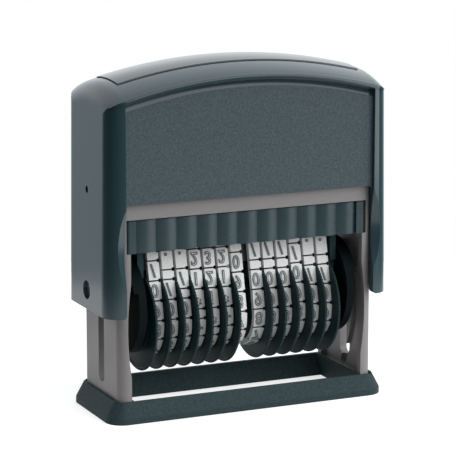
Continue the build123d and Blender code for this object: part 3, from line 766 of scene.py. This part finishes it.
def make_figures(index):
    """All the figures of one band: each sheet is scaled, mirrored and wrapped round the path."""
    low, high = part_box(f"number_band_{index}")
    centre_x = (low.x + high.x - NICK_WIDTH) / 2
    points, triangles, flanks, count = [], [], [], 0
    for block, start in enumerate(block_starts(index)[1:]):
        sheet, faces = sheets[SIGNS[(FIRST_SIGN[index - 1] + block) % BLOCKS]]
        # Painted shade: the faces below the figure's top take the dark rubber.
        flanks.append(sheet[faces][..., 2].min(axis=1) < TOP_LEVEL)
        across = sheet[:, 0] / (digit_high[0] - digit_low[0]) * FIGURE_WIDTH
        along = (sheet[:, 1] - (digit_low[1] + digit_high[1]) / 2) / (digit_high[1] - digit_low[1])
        out = BLOCK_TOP - FIGURE_ROOT + (sheet[:, 2] + SHEET_HALF) * (FIGURE_RISE + FIGURE_ROOT)
        inside, normal = on_path(start + PITCH / 2 + along * FIGURE_HEIGHT)
        placed = np.empty((len(sheet), 3))
        placed[:, 0] = centre_x + across
        placed[:, 1:] = inside + out[:, None] * normal
        points.append(placed)
        triangles.append(faces + count)
        count += len(sheet)
    mesh = bpy.data.meshes.new(f"figures_{index}")
    mesh.from_pydata(np.concatenate(points).tolist(), [], np.concatenate(triangles).tolist())
    mesh.materials.append(band_rubber)
    mesh.materials.append(flank_shade_rubber)
    mesh.polygons.foreach_set("material_index", np.concatenate(flanks).astype(np.int32))
    piece = bpy.data.objects.new(mesh.name, mesh)
    scene.collection.objects.link(piece)
    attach(piece, "print_unit")
    return piece


figures = [make_figures(index) for index in range(1, BANDS + 1)]
print("triangles in a row of figures:", len(figures[0].data.polygons))

# %% [markdown]
# ## The thumb wheels
#
# A wheel is a hub that carries the band and a thin flange that the finger turns. The flange's
# edge is finely toothed. Turning a profile gives the wheel, and pulling every second point of the
# rim inwards gives the teeth.

# %% Draw the profile of a wheel
RIM_EDGE = 0.1 * MM
HUB_RADIUS = BAND_RADIUS - BAND_THICKNESS - 0.3 * MM
SHAFT_RADIUS = 1.45 * MM
FLANGE = 0.6 * MM
DISH = 0.22 * MM
FACE_RINGS = [
    (0.955, 0.0), (0.935, DISH), (0.60, DISH), (0.585, 0.0), (0.54, 0.0),
    (0.525, DISH), (0.29, DISH), (0.275, 0.0), (0.20, 0.0),
]


def wheel_profile(width):
    """Radius and place along the shaft, from the rim over the dished face and back by the hub.

    A ring of the face is a share of the rim's radius and a depth.
    """
    face = [(RIM_RADIUS - RIM_EDGE, 0.0)] + [(RIM_RADIUS * share, dip) for share, dip in FACE_RINGS]
    back = [
        (SHAFT_RADIUS, 0.0), (SHAFT_RADIUS, width), (HUB_RADIUS, width), (HUB_RADIUS, FLANGE),
        (RIM_RADIUS - RIM_EDGE, FLANGE), (RIM_RADIUS, FLANGE - RIM_EDGE), (RIM_RADIUS, RIM_EDGE),
    ]
    return np.array(face + back)


print("radius of the hub in mm:", round(HUB_RADIUS / MM, 2))

# %% Turn the thumb wheels
TEETH = 96
TOOTH_DEPTH = 0.22 * MM
TOOTH_ZONE = 1.5 * RIM_EDGE
LEFT_WHEELS = 7


def make_wheel(index):
    """A turned profile; its outermost points are pulled in at every second step to make teeth."""
    low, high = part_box(f"thumb_wheel_{index}")
    profile = wheel_profile(high.x - low.x)
    on_left = index <= LEFT_WHEELS
    x = low.x + profile[:, 1] if on_left else high.x - profile[:, 1]
    angle = np.linspace(0.0, 2 * math.pi, 2 * TEETH, endpoint=False)
    rim = profile[:, 0] > RIM_RADIUS - TOOTH_ZONE
    notch = (np.arange(len(angle)) % 2) * TOOTH_DEPTH
    radius = profile[None, :, 0] - notch[:, None] * rim[None, :]
    points = np.stack([
        np.broadcast_to(x, radius.shape),
        radius * np.cos(angle)[:, None],
        WHEEL_Z + radius * np.sin(angle)[:, None],
    ], axis=-1)
    quads = grid_faces(*radius.shape, True, True)
    piece = mesh_object(
        f"wheel_{index}", points.reshape(-1, 3), (quads if on_left else quads[:, ::-1]).tolist(),
        [wheel_black], flat=28.0,
    )
    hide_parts(f"thumb_wheel_{index}")
    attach(piece, f"wheel_{index}")
    return piece


wheels = [make_wheel(index) for index in range(1, BANDS + 1)]
print("faces in a wheel:", len(wheels[0].data.polygons))

# %% [markdown]
# ## The return springs
#
# A spring is a round wire along a helix. Its end turns lie flat, so the rise slows down near both
# ends. It hangs from the stand and has a mesh of its own.

# %% Wind the springs
SPRING_TURNS = 9
STEPS_PER_TURN = 24
FLAT_TURNS = 1.0
FLAT_RATE = 0.2
WIRE = 0.35 * MM
WIRE_SIDES = 10


def make_spring(side):
    """A tube round a helix, with flat end turns, and closed by a disc at each cut end."""
    low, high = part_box(f"return_spring_{side}")
    centre_x, radius = (low.x + high.x) / 2, (high.x - low.x) / 2 - WIRE
    turns = np.linspace(0.0, SPRING_TURNS, STEPS_PER_TURN * SPRING_TURNS + 1)
    from_end = np.minimum(turns, SPRING_TURNS - turns)
    rate = FLAT_RATE + (1.0 - FLAT_RATE) * np.clip(from_end / FLAT_TURNS, 0.0, 1.0)
    rise = np.concatenate([[0.0], np.cumsum((rate[1:] + rate[:-1]) / 2)])
    z = low.z + WIRE + rise / rise[-1] * (high.z - low.z - 2 * WIRE)
    angle = 2 * math.pi * turns
    middle = np.stack([centre_x + radius * np.cos(angle), radius * np.sin(angle), z], axis=1)
    around = np.linspace(0.0, 2 * math.pi, WIRE_SIDES, endpoint=False)
    out = np.stack([np.cos(angle), np.sin(angle), 0 * angle], axis=1)
    ring = (
        out[:, None, :] * np.cos(around)[None, :, None]
        + np.array([0.0, 0.0, 1.0]) * np.sin(around)[None, :, None]
    )
    points = middle[:, None, :] + WIRE * ring
    rows, columns = points.shape[:2]
    first, last = list(range(columns)), list(range((rows - 1) * columns, rows * columns))
    faces = grid_faces(rows, columns, False, True).tolist() + [first[::-1], last]
    piece = mesh_object(f"spring_{side}", points.reshape(-1, 3), faces, [spring_steel])
    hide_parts(f"return_spring_{side}")
    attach(piece, "stand")
    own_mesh(piece)
    return piece


springs = [make_spring(side) for side in ("left", "right")]
print("springs:", [spring.name for spring in springs])
